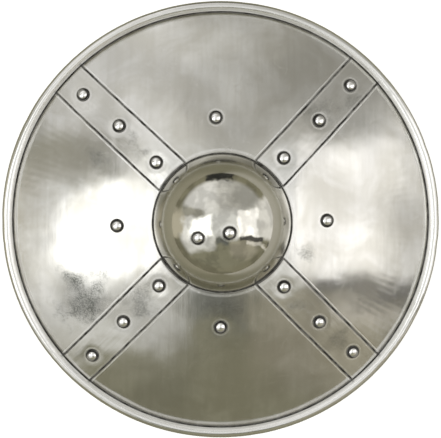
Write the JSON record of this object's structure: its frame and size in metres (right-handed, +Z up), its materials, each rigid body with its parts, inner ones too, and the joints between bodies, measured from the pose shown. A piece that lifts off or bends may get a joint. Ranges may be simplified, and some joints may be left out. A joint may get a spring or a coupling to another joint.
{
  "type": "round shield",
  "caption": "Round dished steel shield with a domed boss, riveted radial bands, a rolled rim and leather arm loops behind.",
  "frame": {"origin": "on the floor under the middle of the rim, the shield lying face up on its rolled rim", "axes": "+Z up out of the face through the boss; +X to the right and +Y to the top of the face as the picture shows it"},
  "size_m": [0.61, 0.61, 0.1582],
  "materials": {
    "disc_steel": "satin, brushed out from the middle",
    "band_steel": "satin, brushed along the band",
    "boss_steel": "mirror polished",
    "rivet_steel": "polished",
    "leather": "oiled vegetable-tanned, brown"
  },
  "bodies": {
    "root": {"shield_disc": "disc_steel", "boss": "boss_steel", "strap_upper_right": "band_steel", "strap_upper_left": "band_steel", "strap_lower_left": "band_steel", "strap_lower_right": "band_steel", "strap_rivet_upper_right_inner": "rivet_steel", "strap_rivet_upper_right_middle": "rivet_steel", "strap_rivet_upper_right_outer": "rivet_steel", "strap_rivet_upper_left_inner": "rivet_steel", "strap_rivet_upper_left_middle": "rivet_steel", "strap_rivet_upper_left_outer": "rivet_steel", "strap_rivet_lower_left_inner": "rivet_steel", "strap_rivet_lower_left_middle": "rivet_steel", "strap_rivet_lower_left_outer": "rivet_steel", "strap_rivet_lower_right_inner": "rivet_steel", "strap_rivet_lower_right_middle": "rivet_steel", "strap_rivet_lower_right_outer": "rivet_steel", "grip_rivet_right": "rivet_steel", "grip_rivet_top": "rivet_steel", "grip_rivet_left": "rivet_steel", "grip_rivet_bottom": "rivet_steel", "boss_rivet_left": "rivet_steel", "boss_rivet_right": "rivet_steel", "arm_strap": "leather", "hand_strap": "leather"}
  },
  "joints": []
}
